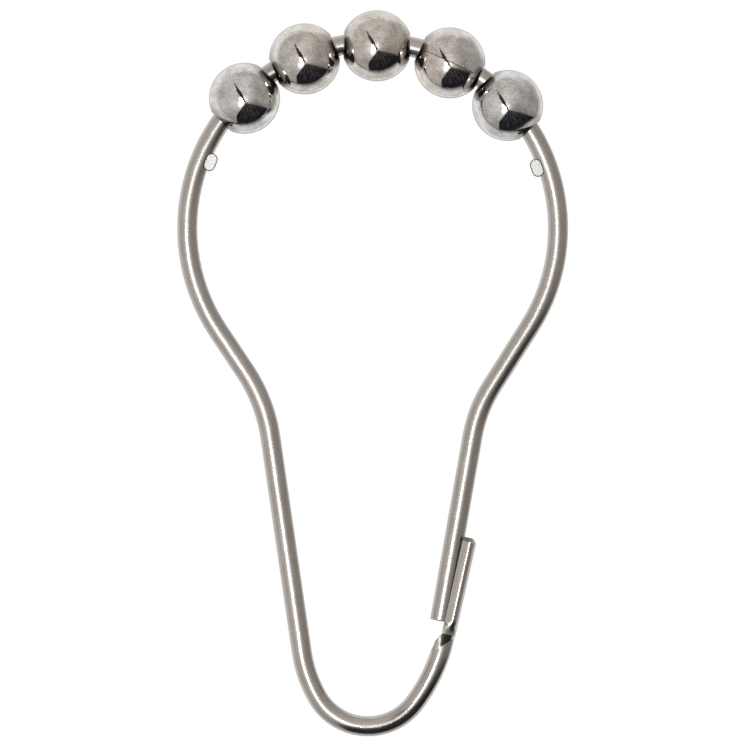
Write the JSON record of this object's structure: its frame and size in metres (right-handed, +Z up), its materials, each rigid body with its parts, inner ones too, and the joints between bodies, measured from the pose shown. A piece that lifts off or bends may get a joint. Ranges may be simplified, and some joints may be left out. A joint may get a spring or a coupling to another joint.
{
  "type": "curtain hook",
  "caption": "Bent-wire curtain hook with a rod loop carrying polished roller balls and, below a neck, a narrow sprung hook with a grooved tip for the curtain's eyelet.",
  "frame": {"origin": "centre of the rod loop, in the plane of the wire", "axes": "+Z up from the eyelet hook to the top of the loop, +Y along the rod and away from the viewer, +X to the side of the latch leg and the grooved tip"},
  "size_m": [0.043, 0.0078, 0.0799],
  "materials": {
    "wire": "drawn steel wire, satin to bright",
    "balls": "polished"
  },
  "bodies": {
    "wire": {"wire_hook": "wire"},
    "ball_1": {"roller_ball_1": "balls"},
    "ball_2": {"roller_ball_2": "balls"},
    "ball_3": {"roller_ball_3": "balls"},
    "ball_4": {"roller_ball_4": "balls"},
    "ball_5": {"roller_ball_5": "balls"}
  },
  "joints": [
    {"name": "ball_1_spin", "type": "hinge", "parent": "wire", "child": "ball_1", "pos_m": [-0.01409, 0, 0.01429], "axis": [0.7119, 0, 0.7022], "continuous": true},
    {"name": "ball_2_spin", "type": "hinge", "parent": "wire", "child": "ball_2", "pos_m": [-0.00748, 0, 0.01862], "axis": [0.9278, 0, 0.373], "continuous": true},
    {"name": "ball_3_spin", "type": "hinge", "parent": "wire", "child": "ball_3", "pos_m": [0.00046, 0, 0.02006], "axis": [0.9997, 0, -0.0227], "continuous": true},
    {"name": "ball_4_spin", "type": "hinge", "parent": "wire", "child": "ball_4", "pos_m": [0.00849, 0, 0.01818], "axis": [0.9061, 0, -0.423], "continuous": true},
    {"name": "ball_5_spin", "type": "hinge", "parent": "wire", "child": "ball_5", "pos_m": [0.01485, 0, 0.0135], "axis": [0.6726, 0, -0.74], "continuous": true}
  ]
}
